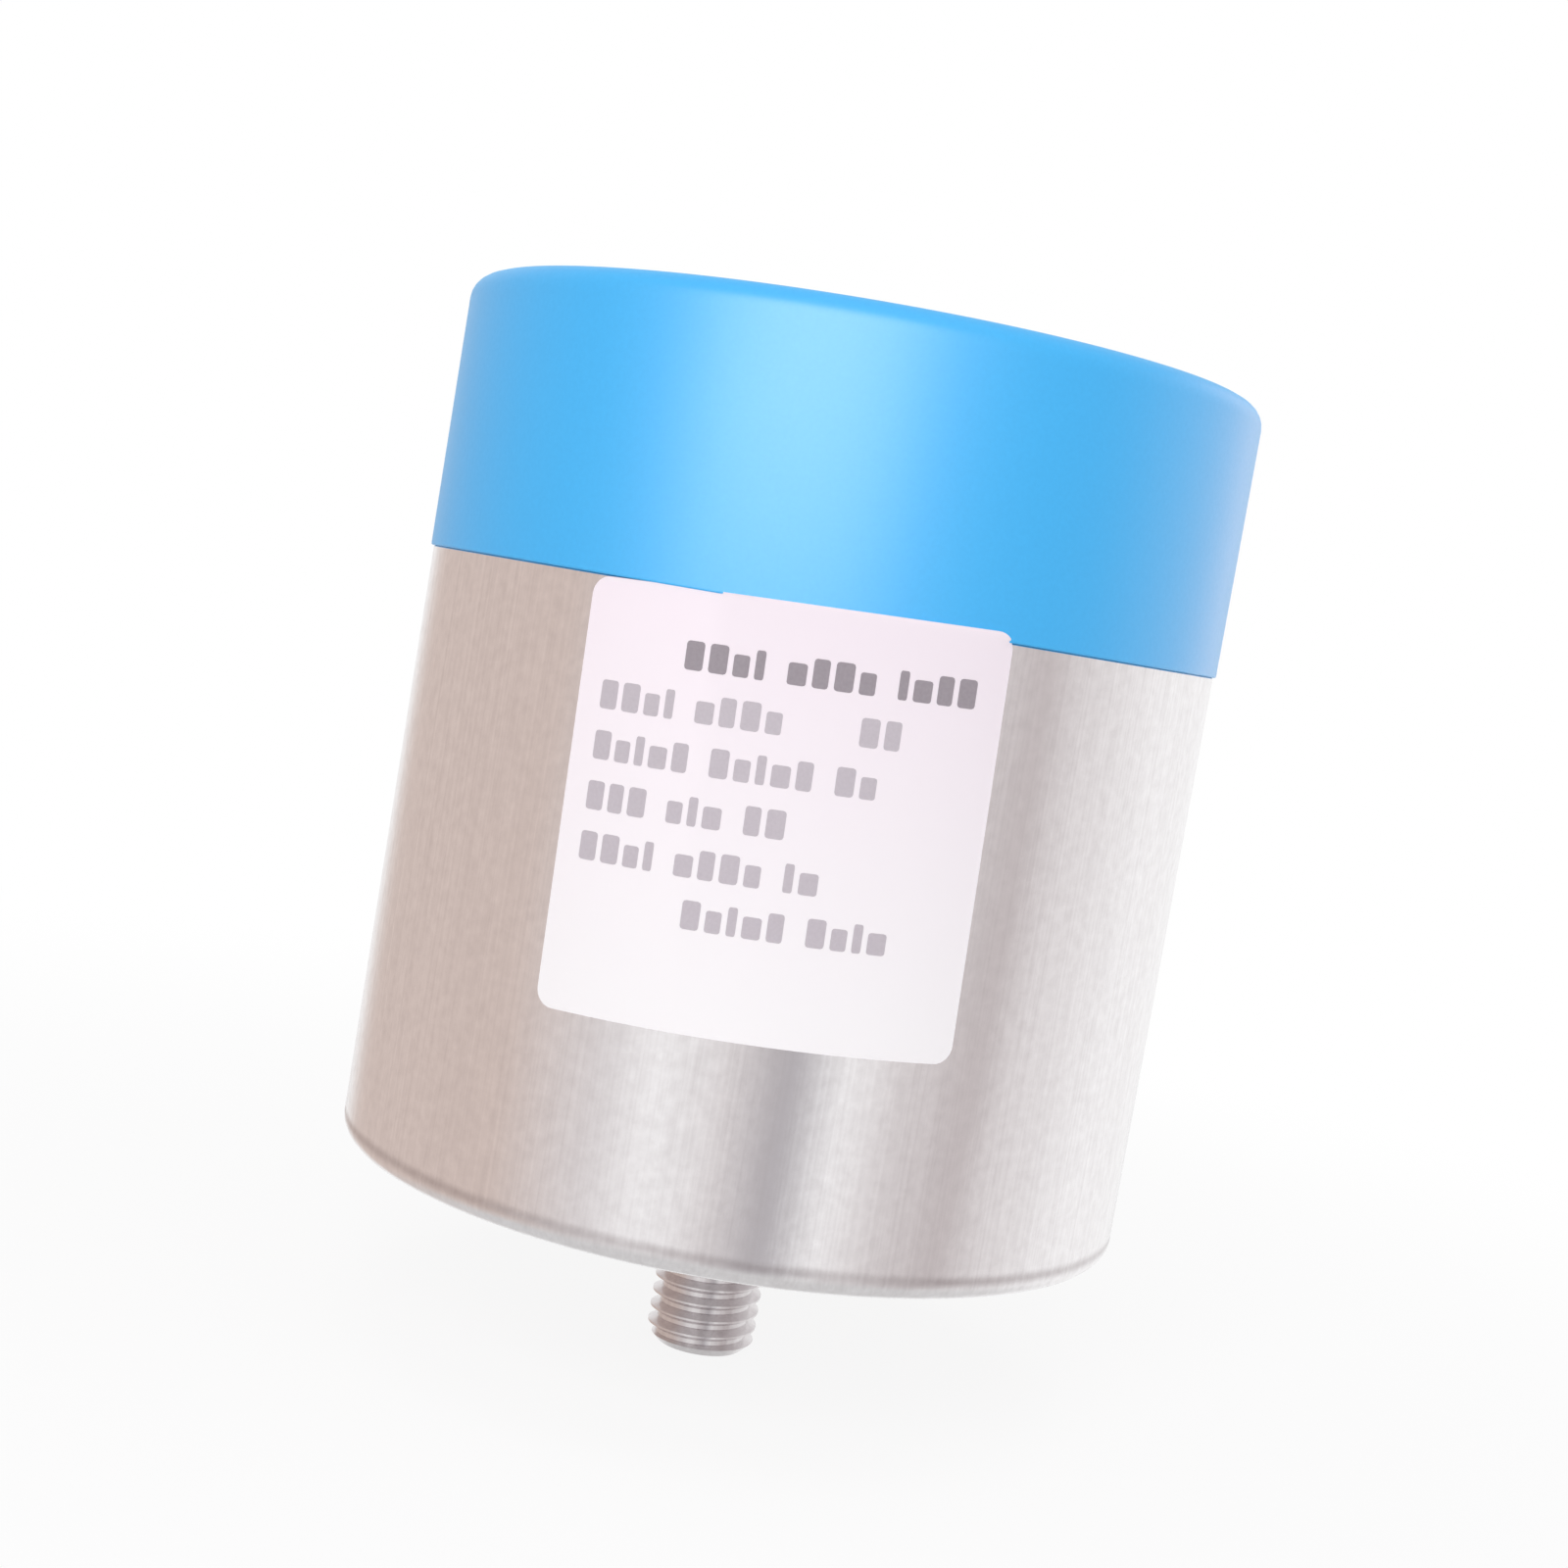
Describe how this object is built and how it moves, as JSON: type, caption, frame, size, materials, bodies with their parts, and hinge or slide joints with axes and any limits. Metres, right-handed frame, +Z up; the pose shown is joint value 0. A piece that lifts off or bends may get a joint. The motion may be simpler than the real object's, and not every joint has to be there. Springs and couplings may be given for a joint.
{
  "type": "film capacitor",
  "caption": "Round aluminium-can film capacitor with a blue plastic terminal cap, threaded terminals on top and a screw stud under its base.",
  "frame": {"origin": "centre of the can's flat base face, where the stud leaves it", "axes": "+Z up the can's axis towards the terminals, -Z along the mounting stud, -Y towards the label, X through both terminals"},
  "size_m": [0.0856, 0.0857, 0.1131],
  "materials": {
    "can_aluminium": "drawn aluminium, bright, with fine lengthwise draw lines",
    "cap_plastic": "sky-blue moulded plastic, satin",
    "label_film": "white self-adhesive film, plain grey bars in place of print",
    "terminal_brass": "tin-plated turned brass",
    "plug_plastic": "blue plastic plug",
    "seal_rubber": "black rubber",
    "wound_film": "metallised film roll, silvery grey",
    "core_plastic": "natural plastic tube",
    "wrap_film": "clear film wrap, yellowish",
    "sprayed_zinc": "sprayed zinc, rough grey",
    "tinned_copper": "tinned copper strip",
    "sleeve_film": "amber insulating sleeve",
    "solder": "solder",
    "insulating_board": "off-white polypropylene sheet",
    "potting_resin": "black potting resin"
  },
  "bodies": {
    "root": {"can": "can_aluminium", "top_cap": "cap_plastic", "label": "label_film", "terminal_left": "terminal_brass", "terminal_right": "terminal_brass", "fill_plug": "plug_plastic", "seal_ring": "seal_rubber", "winding": "wound_film", "winding_core": "core_plastic", "winding_wrap": "wrap_film", "contact_layer_lower": "sprayed_zinc", "contact_layer_upper": "sprayed_zinc", "lower_strip": "tinned_copper", "upper_strip": "tinned_copper", "strip_insulator": "sleeve_film", "solder_joints": "solder", "base_insulator": "insulating_board", "wall_insulator": "insulating_board", "resin_fill": "potting_resin"}
  },
  "joints": []
}
